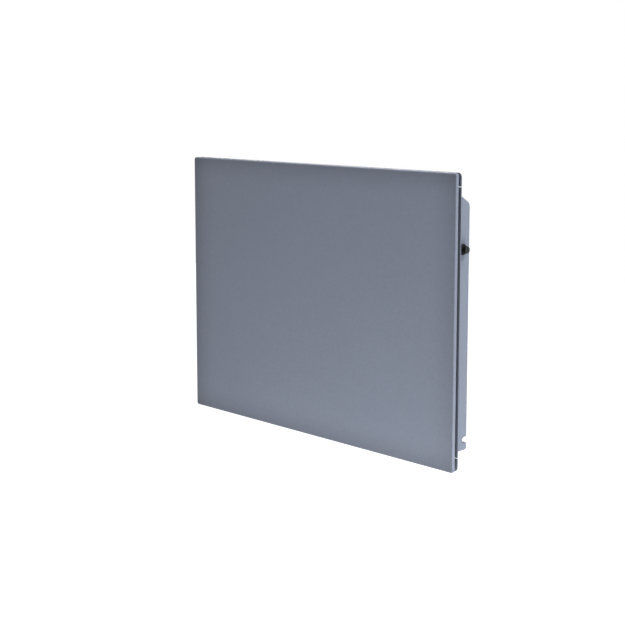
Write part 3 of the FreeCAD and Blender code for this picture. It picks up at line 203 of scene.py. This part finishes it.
# %% Powder coat
PAINT = (0.189, 0.214, 0.272)
SATIN = 0.46
PAINT_SHINE = 0.32
PEBBLES = 720.0
SPECKS = 1500.0
MOTTLES = 220.0
CLOUDS = 5.0
PEBBLE_SHARE = 0.6
SPECK_SHARE = 0.4
MOTTLE_SHARE = 0.8
CLOUD_SHARE = 0.35
HALF_SURPLUS = (PEBBLE_SHARE + SPECK_SHARE + MOTTLE_SHARE + CLOUD_SHARE - 1) / 2
SPECKLE = 0.10
SATIN_SWING = 0.10
PEBBLE_HEIGHT = 0.03 * MM
PEBBLE_STRENGTH = 0.35


def powder_coat(name):
    material, paper, shader, place = blank(name, Specular_IOR_Level=PAINT_SHINE)
    pebble = grain(paper, place, PEBBLES, 1.0)
    speck = grain(paper, place, SPECKS, 0.0)
    mottle = grain(paper, place, MOTTLES)
    cloud = grain(paper, place, CLOUDS)
    fine = pebble * PEBBLE_SHARE + speck * SPECK_SHARE
    share = fine + mottle * MOTTLE_SHARE + cloud * CLOUD_SHARE - HALF_SURPLUS
    tone = mix(paper, share, shade(PAINT, 1 - SPECKLE), shade(PAINT, 1 + SPECKLE))
    paper.put(shader.inputs["Base Color"], tone)
    paper.put(shader.inputs["Roughness"], SATIN - SATIN_SWING / 2 + pebble * SATIN_SWING)
    paper.put(shader.inputs["Normal"], bump(paper, pebble, PEBBLE_HEIGHT, PEBBLE_STRENGTH))
    return material, paper, shader, place, tone


casing_paint = powder_coat("casing_paint")[0]
print("powder coat:", casing_paint.name, "with", len(casing_paint.node_tree.nodes), "shader nodes")

# %% [markdown]
# The front panel's paint is darkened near its edges as painted shade: a soft darker frame, about as wide
# as two fingers, darkest in the corners, where two edges meet. Along the sides this painted shade is
# strongest at the upper left and fades towards the lower right. Each pair of edges darkens the paint once,
# by the distance to the nearer edge, and the painted shade stops where the sheet folds.

# %% Painted shade: a darker frame on the front panel
# painted shade: how far in from the edges and how dark the front panel's paint is darkened
PAINTED_SHADE_SIDE_REACH = 60 * MM
PAINTED_SHADE_END_REACH = 45 * MM
PAINTED_SHADE_DEPTH = 1 * MM
PAINTED_SHADE_LEVEL = 0.60
PAINTED_SHADE_SIDE_FADE = 0.55
PAINTED_SHADE_END_SHARE = 0.78
panel_low, panel_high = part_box("front_panel")
panel_size = panel_high - panel_low
panel_middle = (panel_low + panel_high) / 2


def size_of(paper, value):
    return paper.node("ShaderNodeMath", {"operation": "ABSOLUTE"}, {0: value})


def held(paper, value):
    return paper.node("ShaderNodeClamp", None, {"Value": value})


def panel_coat_with_painted_shade():
    material, paper, shader, place, tone = powder_coat("panel_paint")
    across, depth, height = (paper.node("ShaderNodeSeparateXYZ", None, {"Vector": place}, out=axis)
                             for axis in "XYZ")
    face = held(paper, (panel_low.y + PAINTED_SHADE_DEPTH - depth) * (1 / PAINTED_SHADE_DEPTH))
    from_side = panel_size.x / 2 - size_of(paper, across - panel_middle.x)
    from_end = panel_size.z / 2 - size_of(paper, height - panel_middle.z)
    # painted shade along the sides is strongest at the upper left and fades towards the lower right
    painted_shade_slant = (across - panel_low.x) * (0.5 / panel_size.x) + (panel_high.z - height) * (0.5 / panel_size.z)
    pairs = ((from_side, PAINTED_SHADE_SIDE_REACH, 1 - painted_shade_slant * PAINTED_SHADE_SIDE_FADE), (from_end, PAINTED_SHADE_END_REACH, PAINTED_SHADE_END_SHARE))
    for gap, reach, strength in pairs:
        near = held(paper, 1 - gap * (1 / reach))
        share = near * near * face * strength
        # painted shade: the paint is multiplied darker near each pair of edges
        tone = mix(paper, share, tone, shade((1, 1, 1), PAINTED_SHADE_LEVEL), "MULTIPLY")
    paper.put(shader.inputs["Base Color"], tone)
    return material


panel_paint = panel_coat_with_painted_shade()
print("front panel's frame reaches", round(PAINTED_SHADE_SIDE_REACH / MM), "mm in from the sides")

# %% [markdown]
# ## Bare metals
# Zinc plate is slightly cloudy, with a pale passivated tint. Mill aluminium keeps fine lines along the
# rolling direction. The heating rod's sheath has turned straw and grey where it gets hot. Brass is warm
# and smooth. All four are the same recipe with other numbers: a metal colour, a cloud that dulls it here
# and there, and fine lines drawn out along one axis.

# %% Metals
LINES = 900.0
METAL_SWING = 0.12
LINE_HEIGHT = 0.01 * MM
LINE_STRENGTH = 0.25
ALONG_SHEET = (0.03, 1.0, 1.0)
ALONG_ROD = (0.05, 1.0, 1.0)


def stretched(paper, place, shares):
    return paper.node("ShaderNodeMapping", None, {"Vector": place, "Scale": shares})


def metal(name, colour, tint, roughness, lines=(1.0, 1.0, 1.0), clouds=60.0):
    material, paper, shader, place = blank(name, Metallic=1.0)
    cloud = grain(paper, place, clouds, 3.0)
    line = grain(paper, stretched(paper, place, lines), LINES)
    tone = mix(paper, cloud, shade(colour, 1), shade(tint, 1))
    gloss = roughness - METAL_SWING + cloud * METAL_SWING + line * METAL_SWING
    paper.put(shader.inputs["Base Color"], tone)
    paper.put(shader.inputs["Roughness"], gloss)
    paper.put(shader.inputs["Normal"], bump(paper, line, LINE_HEIGHT, LINE_STRENGTH))
    return material


zinc_steel = metal("zinc_steel", (0.41, 0.42, 0.43), (0.32, 0.35, 0.39), 0.52, clouds=140.0)
aluminium = metal("aluminium", (0.42, 0.43, 0.44), (0.34, 0.35, 0.37), 0.52, ALONG_SHEET)
element_steel = metal("element_steel", (0.20, 0.185, 0.17), (0.34, 0.27, 0.19), 0.42, ALONG_ROD, 25.0)
brass = metal("brass", (0.62, 0.44, 0.17), (0.50, 0.34, 0.13), 0.30)
print("metals:", [material.name for material in (zinc_steel, aluminium, element_steel, brass)])

# %% [markdown]
# ## Moulded plastics, rubber and ceramic
# A mould is etched so that small marks don't show, and the plastic takes on that fine texture. Ceramic is
# pressed from powder and stays chalky. Wire insulation is smooth with a soft shine. Each is a plain colour
# broken up by its own grain, with the gloss following the grain.

# %% Mouldings
ETCH = 1100.0
ETCH_HEIGHT = 0.02 * MM
ETCH_STRENGTH = 0.4
ETCH_SWING = 0.12
ETCH_SHARE = 0.6
BROAD = 40.0


def moulding(name, colour, roughness, etch=ETCH, depth=ETCH_HEIGHT, contrast=0.12):
    material, paper, shader, place = blank(name)
    fine = grain(paper, place, etch)
    broad = grain(paper, place, BROAD)
    share = fine * ETCH_SHARE + broad * (1 - ETCH_SHARE)
    tone = mix(paper, share, shade(colour, 1 - contrast), shade(colour, 1 + contrast))
    paper.put(shader.inputs["Base Color"], tone)
    paper.put(shader.inputs["Roughness"], roughness - ETCH_SWING / 2 + fine * ETCH_SWING)
    paper.put(shader.inputs["Normal"], bump(paper, fine, depth, ETCH_STRENGTH))
    return material


finishes = {
    "panel_paint": panel_paint,
    "casing_paint": casing_paint,
    "zinc_steel": zinc_steel,
    "aluminium": aluminium,
    "element_steel": element_steel,
    "brass": brass,
    "ceramic": moulding("ceramic", (0.78, 0.74, 0.66), 0.80, 600.0, 0.04 * MM, 0.06),
    "rubber": moulding("rubber", (0.014, 0.014, 0.014), 0.75),
    "black_plastic": moulding("black_plastic", (0.014, 0.014, 0.015), 0.50),
    "relay_blue": moulding("relay_blue", (0.02, 0.06, 0.24), 0.35),
    "capacitor_yellow": moulding("capacitor_yellow", (0.60, 0.33, 0.03), 0.40),
    "fuse_white": moulding("fuse_white", (0.74, 0.72, 0.66), 0.25, 400.0, 0.01 * MM, 0.04),
    "plug_white": moulding("plug_white", (0.70, 0.70, 0.66), 0.45, contrast=0.05),
    "wire_brown": moulding("wire_brown", (0.085, 0.030, 0.010), 0.42),
    "wire_blue": moulding("wire_blue", (0.010, 0.060, 0.32), 0.42),
    "wire_white": moulding("wire_white", (0.68, 0.66, 0.60), 0.70, 1600.0, 0.05 * MM, 0.10),
    "wire_grey": moulding("wire_grey", (0.17, 0.17, 0.175), 0.45),
}
print("mouldings are ready,", len(finishes), "finishes so far")

# %% [markdown]
# The knob is black too, but its mould is etched on the skirt, the grip and the sunk mark. They hardly shine,
# and the end face that fingers rub is smooth. A coat that is there only on the end face gives that shine.

# %% Knob plastic
SMOOTH_END = 0.35 * MM
SMOOTH_STEP = 0.1 * MM
SMOOTH_COAT = 0.5
SMOOTH_ROUGHNESS = 0.22
KNOB_ROUGHNESS = 0.50
KNOB_SHINE = 0.10
KNOB_DARK = (0.0045, 0.0045, 0.0050)
KNOB_LIGHT = (0.0065, 0.0065, 0.0072)
knob_low, knob_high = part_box("thermostat_knob")


def knob_plastic():
    material, paper, shader, place = blank("knob_plastic", Specular_IOR_Level=KNOB_SHINE,
                                           Coat_Roughness=SMOOTH_ROUGHNESS)
    fine = grain(paper, place, ETCH)
    along = paper.node("ShaderNodeSeparateXYZ", None, {"Vector": place}, out="X")
    smooth = held(paper, (along - knob_high.x + SMOOTH_END) * (1 / SMOOTH_STEP))
    paper.put(shader.inputs["Base Color"], mix(paper, fine, shade(KNOB_DARK, 1), shade(KNOB_LIGHT, 1)))
    paper.put(shader.inputs["Roughness"], KNOB_ROUGHNESS + fine * ETCH_SWING)
    paper.put(shader.inputs["Coat Weight"], smooth * SMOOTH_COAT)
    paper.put(shader.inputs["Normal"], bump(paper, fine, ETCH_HEIGHT, ETCH_STRENGTH))
    return material


finishes["knob_plastic"] = knob_plastic()
print("knob plastic, smooth beyond", round((knob_high.x - SMOOTH_END) / MM, 2), "mm")

# %% [markdown]
# ## The circuit board and the earth wire
# Under its lacquer the board is woven glass, so a faint weave shows through the green. The earth wire's
# insulation is green with yellow stripes along it. A Wave texture gives both: two crossed waves for the
# weave, and one sharpened wave for the stripes.


# %% Board lacquer
def wave(paper, place, direction, scale):
    return paper.node("ShaderNodeTexWave", {"bands_direction": direction},
                      {"Vector": place, "Scale": scale}, out="Fac")


WEAVE = 320.0
WEAVE_HEIGHT = 0.02 * MM
WEAVE_STRENGTH = 0.3
WEAVE_SWING = 0.10
BOARD_CLOUDS = 30.0
BOARD_COAT = 0.4
BOARD_ROUGHNESS = 0.26
BOARD_DARK = (0.010, 0.075, 0.028)
BOARD_LIGHT = (0.018, 0.125, 0.045)


def board_lacquer():
    material, paper, shader, place = blank("board_green", Coat_Weight=BOARD_COAT)
    weave = wave(paper, place, "X", WEAVE) * 0.5 + wave(paper, place, "Z", WEAVE) * 0.5
    share = weave * 0.5 + grain(paper, place, BOARD_CLOUDS) * 0.5
    paper.put(shader.inputs["Base Color"], mix(paper, share, shade(BOARD_DARK, 1), shade(BOARD_LIGHT, 1)))
    paper.put(shader.inputs["Roughness"], BOARD_ROUGHNESS + weave * WEAVE_SWING)
    paper.put(shader.inputs["Normal"], bump(paper, weave, WEAVE_HEIGHT, WEAVE_STRENGTH))
    return material


finishes["board_green"] = board_lacquer()
print("woven board:", finishes["board_green"].name)

# %% Striped insulation
STRIPES = 60.0
STRIPE_LEVEL = 0.62
WIRE_ROUGHNESS = 0.36
STRIPE_GREEN = (0.020, 0.190, 0.035)
STRIPE_YELLOW = (0.650, 0.500, 0.030)


def striped_insulation():
    material, paper, shader, place = blank("wire_green")
    stripe = paper.node("ShaderNodeMath", {"operation": "GREATER_THAN"},
                        {0: wave(paper, place, "DIAGONAL", STRIPES), 1: STRIPE_LEVEL})
    tone = mix(paper, stripe, shade(STRIPE_GREEN, 1), shade(STRIPE_YELLOW, 1))
    paper.put(shader.inputs["Base Color"], tone)
    paper.put(shader.inputs["Roughness"], WIRE_ROUGHNESS + grain(paper, place, ETCH) * ETCH_SWING)
    return material


finishes["wire_green"] = striped_insulation()
print("finishes:", len(finishes))

# %% [markdown]
# The packed record says which finish each CAD node takes. Reading it from there keeps the names in one
# place.

# %% Dress the CAD nodes
for part in frame["record"]["subparts"]:
    mesh = nodes[part["node"]].data
    mesh.materials.clear()
    mesh.materials.append(finishes[part["material_slot"]])

# %% [markdown]
# ## The front panel
# On the real radiator this is one sheet of steel, 1 mm thick. Its corners are cut round, its four edges
# are folded back by 5 mm, and the folds catch the light. It could be a box with bevels, but starting from a
# flat sheet follows how it is made: round the corners, fold the edges back, round the folds and give the
# sheet its thickness.

# %% Helpers for new pieces
SHARP_ANGLE = 40


def new_piece(name, bm, body, slot):
    mesh = bpy.data.meshes.new(name)
    bm.to_mesh(mesh)
    bm.free()
    mesh.polygons.foreach_set("use_smooth", [True] * len(mesh.polygons))
    mesh.set_sharp_from_angle(angle=math.radians(SHARP_ANGLE))
    mesh.materials.append(finishes[slot])
    piece = bpy.data.objects.new(name, mesh)
    scene.collection.objects.link(piece)
    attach(piece, body)
    return piece


def moved_verts(made):
    return [item for item in made["geom"] if isinstance(item, bmesh.types.BMVert)]


# %% Fold the front panel
CORNER_R = 4 * MM
CORNER_STEPS = 12

bm = bmesh.new()
bmesh.ops.create_grid(bm, x_segments=1, y_segments=1, size=0.5)
bmesh.ops.scale(bm, verts=bm.verts, vec=(panel_size.x, panel_size.z, 1))
bmesh.ops.rotate(bm, verts=bm.verts, matrix=Matrix.Rotation(math.radians(90), 3, "X"))
bmesh.ops.translate(bm, verts=bm.verts, vec=(panel_middle.x, panel_low.y, panel_middle.z))
bmesh.ops.bevel(bm, geom=bm.verts[:], affect="VERTICES", offset=CORNER_R, offset_type="OFFSET",
                segments=CORNER_STEPS, profile=0.5, material=-1)
bm.faces.ensure_lookup_table()
folded = bmesh.ops.extrude_face_region(bm, geom=[bm.faces[0]])
rear_corners = moved_verts(folded)
bmesh.ops.translate(bm, verts=rear_corners, vec=(0, panel_size.y, 0))
print("sheet with", len(rear_corners), "points along its edge")

# %% [markdown]
# The top edge is folded over a rounder tool than the sides and the bottom, so its line of light is wider. A
# bevel gives all four edges the top's radius. Then the folds of the sides and the bottom are drawn tighter,
# and in the two upper corners one radius runs into the other.

# %% Round the folds
TOP_FOLD_R = 3.5 * MM
FOLD_STEPS = 10
RIM = 0.4 * MM

front = min(bm.faces, key=lambda each: each.calc_center_median().y)
back = max(bm.faces, key=lambda each: each.calc_center_median().y)
bmesh.ops.delete(bm, geom=[back], context="FACES_ONLY")
bmesh.ops.bevel(bm, geom=front.edges[:], affect="EDGES", offset=TOP_FOLD_R, offset_type="OFFSET",
                segments=FOLD_STEPS, profile=0.5, material=-1)
front = max(bm.faces, key=lambda each: each.calc_area())
bmesh.ops.inset_region(bm, faces=[front], thickness=RIM, use_even_offset=True)
print("folds of", TOP_FOLD_R / MM, "mm all round, and a flat rim of", RIM / MM, "mm inside them")

# %% Tighten the folds of the sides and the bottom
FOLD_R = 2 * MM

half_core = panel_size / 2 - Vector((CORNER_R, 0, CORNER_R))
on_fold = [vert for vert in bm.verts if vert.co.y < panel_low.y + TOP_FOLD_R + RIM]
for vert in on_fold:
    place = vert.co - panel_middle
    core = Vector([max(-reach, min(reach, side)) for side, reach in zip(place, half_core)])
    arm = place - core
    upward = max(arm.normalized().z, 0) ** 2
    share = upward + FOLD_R / TOP_FOLD_R * (1 - upward)
    inward = (CORNER_R - arm.length) * share
    spot = panel_middle + core + arm.normalized() * (CORNER_R - inward)
    vert.co = (spot.x, panel_low.y + (vert.co.y - panel_low.y) * share, spot.z)
print("drew", len(on_fold), "points towards folds of", FOLD_R / MM, "mm")

# %% Give the sheet its thickness
SHEET = 1 * MM

bmesh.ops.recalc_face_normals(bm, faces=bm.faces)
front = max(bm.faces, key=lambda each: each.calc_area())
if front.normal.y > 0:
    bmesh.ops.reverse_faces(bm, faces=bm.faces)
bmesh.ops.solidify(bm, geom=bm.faces[:], thickness=SHEET)
panel = new_piece("front_panel_sheet", bm, "radiator", "panel_paint")
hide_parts("front_panel")
print("front panel:", len(panel.data.polygons), "faces,", [round(side / MM, 2) for side in panel.dimensions])

# %% [markdown]
# ## The thermostat knob
# The knob is one black moulding. A flared skirt hides its nut, and a slimmer grip carries fine ribs so
# that fingers don't slip. It is round about its shaft, so half of its outline, spun about the shaft's
# axis, gives the whole of it. The outline runs from the bore for the shaft, round the skirt, along the
# grip and over the dished end, as pairs of the distance from the skirt's rim and the radius.

# %% Spin the knob
BORE = [(7.6, 0.0), (7.6, 3.1), (2.8, 3.1), (2.8, 6.9), (0.0, 6.9)]
SKIRT = [(0.0, 7.9), (0.3, 8.2), (2.2, 8.2), (2.6, 8.0), (2.95, 7.3), (3.45, 6.6), (4.2, 6.05), (5.0, 5.78)]
GRIP = [(5.6, 5.7), (5.8, 5.7), (9.2, 5.42)]
END = [(9.55, 5.3), (9.83, 5.0), (10.0, 4.6), (10.0, 4.2), (9.9, 3.8), (9.86, 2.0), (9.85, 0.0)]
OUTLINE = BORE + SKIRT + GRIP + END
STEPS = 96
MERGE = 0.001 * MM

hinge = frame["joints"][0]
axis_point = Vector((0, hinge["pos_m"][1], hinge["pos_m"][2]))
bm = bmesh.new()
points = [bm.verts.new((knob_low.x + along * MM, axis_point.y, axis_point.z + radius * MM))
          for along, radius in OUTLINE]
line = [bm.edges.new(pair) for pair in zip(points, points[1:])]
bmesh.ops.spin(bm, geom=points + line, cent=axis_point, axis=(1, 0, 0), angle=math.tau, steps=STEPS,
               use_merge=True)
bmesh.ops.remove_doubles(bm, verts=bm.verts, dist=MERGE)
bmesh.ops.recalc_face_normals(bm, faces=bm.faces)
print("knob outline of", len(OUTLINE), "points spun in", STEPS, "steps")

# %% [markdown]
# The ribs are waves round the grip. Each point of the grip is drawn in by its place on the wave, so the rib
# tops keep the grip's radius. Points nearer to the axis belong to the bore and stay.

# %% Rib the grip
RIBS = 24
RIB_DEPTH = 0.22 * MM
GRIP_START = knob_low.x + 5.75 * MM
GRIP_END = knob_low.x + 9.3 * MM
BORE_REACH = 4 * MM

on_grip = [vert for vert in bm.verts if GRIP_START < vert.co.x < GRIP_END]
for vert in on_grip:
    arm = Vector((0, vert.co.y - axis_point.y, vert.co.z - axis_point.z))
    if arm.length > BORE_REACH:
        turn = math.atan2(arm.y, arm.z)
        vert.co -= arm.normalized() * RIB_DEPTH * (0.5 - 0.5 * math.cos(RIBS * turn))
print(RIBS, "ribs round the grip")

# %% [markdown]
# A sunk line on the knob's end shows how far it is turned. Two cuts across the end mark the line's sides,
# and the strip between them is pushed in.

# %% Sink the mark
MARK_WIDTH = 1 * MM
MARK_DEPTH = 0.4 * MM
MARK_END = 4.1 * MM
END_START = knob_low.x + 9.5 * MM


def on_end(face):
    return face.calc_center_median().x > END_START


def on_mark(face):
    place = face.calc_center_median() - axis_point
    return on_end(face) and abs(place.y) < MARK_WIDTH / 2 and 0 < place.z < MARK_END


for side in (-1, 1):
    cap = [item for face in bm.faces if on_end(face) for item in (face, *face.edges, *face.verts)]
    bmesh.ops.bisect_plane(bm, geom=list(dict.fromkeys(cap)), dist=MERGE, plane_no=(0, 1, 0),
                           plane_co=axis_point + Vector((0, side * MARK_WIDTH / 2, 0)))
strip = [face for face in bm.faces if on_mark(face)]
print("the mark's strip has", len(strip), "faces")
sunk = bmesh.ops.extrude_face_region(bm, geom=strip)
bmesh.ops.translate(bm, verts=moved_verts(sunk), vec=(-MARK_DEPTH, 0, 0))
bmesh.ops.delete(bm, geom=strip, context="FACES")
bmesh.ops.recalc_face_normals(bm, faces=bm.faces)
knob = new_piece("thermostat_knob_moulding", bm, "knob", "knob_plastic")
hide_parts("thermostat_knob")
print("knob:", [round(side / MM, 2) for side in knob.dimensions])

# %% [markdown]
# ## Light and floor
# The light is plain soft studio light. One soft light stands in front and low, and a pale bounce below it
# lifts the lower half of the panel. Two from the right, one high and one low, brighten the side, and the
# high one throws the knob's soft shadow. One overhead draws a pale line along the top fold, and one behind
# keeps the back from being lost. An even sky fills the shade.


# %% Soft lights
def soft_light(name, place, target, width, height, power):
    data = bpy.data.lights.new(name, "AREA")
    data.shape = "RECTANGLE"
    data.size = width
    data.size_y = height
    data.energy = power
    lamp = bpy.data.objects.new(name, data)
    lamp.location = place
    lamp.rotation_euler = (Vector(target) - Vector(place)).to_track_quat("-Z", "Y").to_euler()
    lamp.visible_camera = False
    scene.collection.objects.link(lamp)


soft_light("front_light", (0.50, -1.50, -0.55), (0.05, -0.045, -0.11), 0.9, 0.6, 6.7)
soft_light("bounce_light", (0.25, -0.40, -0.62), (0.25, -0.35, 0.30), 0.9, 0.6, 2.8)
soft_light("side_light_high", (1.20, -0.07, 1.10), (0.29, -0.02, -0.11), 0.3, 0.3, 16.0)
soft_light("side_light_low", (1.00, -0.08, -0.90), (0.29, -0.02, -0.20), 0.3, 0.9, 12.5)
soft_light("top_light", (0.15, -0.04, 1.20), (0.10, 0.03, 0.10), 1.5, 1.1, 6.5)
soft_light("back_light", (-1.40, 1.50, 0.90), (0.0, 0.0, -0.11), 1.0, 1.0, 24.0)
print("soft lights:", [item.name for item in bpy.data.lights])

# %% [markdown]
# The backdrop is white, but a white sky and floor would light the radiator too much. Light Path tells which
# ray asks: the camera and reflections see white, and all other rays get the sky's low level and the floor's
# own pale paint, which keeps the shadow.

# %% Sky
SKY_LEVEL = 0.25
SEEING_RAYS = ("Is Camera Ray", "Is Glossy Ray", "Is Transmission Ray")


def seen_by_eye(paper):
    rays = [paper.node("ShaderNodeLightPath", out=name) for name in SEEING_RAYS]
    return paper.node("ShaderNodeMath", {"operation": "MINIMUM"}, {0: rays[0] + rays[1] + rays[2], 1: 1.0})


world = bpy.data.worlds.new("studio")
scene.world = world
world.use_nodes = True
sky = Field(world.node_tree)
background = world.node_tree.nodes["Background"]
background.inputs["Color"].default_value = (1, 1, 1, 1)
sky.put(background.inputs["Strength"], SKY_LEVEL + seen_by_eye(sky) * (1 - SKY_LEVEL))
print("sky level", SKY_LEVEL)

# %% Floor
FLOOR_HALF_WIDTH = 6.0
FLOOR_DROP = 0.75
FLOOR_HEIGHT = low.z - FLOOR_DROP
FLOOR_CLOUDS = 3.0
FLOOR_DARK = (0.78, 0.78, 0.78)
FLOOR_LIGHT = (0.82, 0.82, 0.82)
FLOOR_ROUGHNESS = 0.9
FLOOR_GLOW = 0.9

bm = bmesh.new()
bmesh.ops.create_grid(bm, x_segments=1, y_segments=1, size=FLOOR_HALF_WIDTH)
bmesh.ops.translate(bm, verts=bm.verts, vec=(0, 0, FLOOR_HEIGHT))
mesh = bpy.data.meshes.new("floor")
bm.to_mesh(mesh)
bm.free()
floor = bpy.data.objects.new("floor", mesh)
scene.collection.objects.link(floor)
material, paper, shader, place = blank("floor_white", Roughness=FLOOR_ROUGHNESS, Emission_Strength=1.0)
clouds = grain(paper, place, FLOOR_CLOUDS)
paper.put(shader.inputs["Base Color"], mix(paper, clouds, shade(FLOOR_DARK, 1), shade(FLOOR_LIGHT, 1)))
glow = seen_by_eye(paper) * FLOOR_GLOW
white = paper.node("ShaderNodeCombineColor", None, {0: glow, 1: glow, 2: glow})
paper.put(shader.inputs["Emission Color"], white)
mesh.materials.append(material)
print("floor lies", round(FLOOR_HEIGHT, 3), "m high")

# %% [markdown]
# ## The size
# The finishes and new pieces must not make the radiator any larger than its CAD model, whose box was
# taken when the model was loaded.
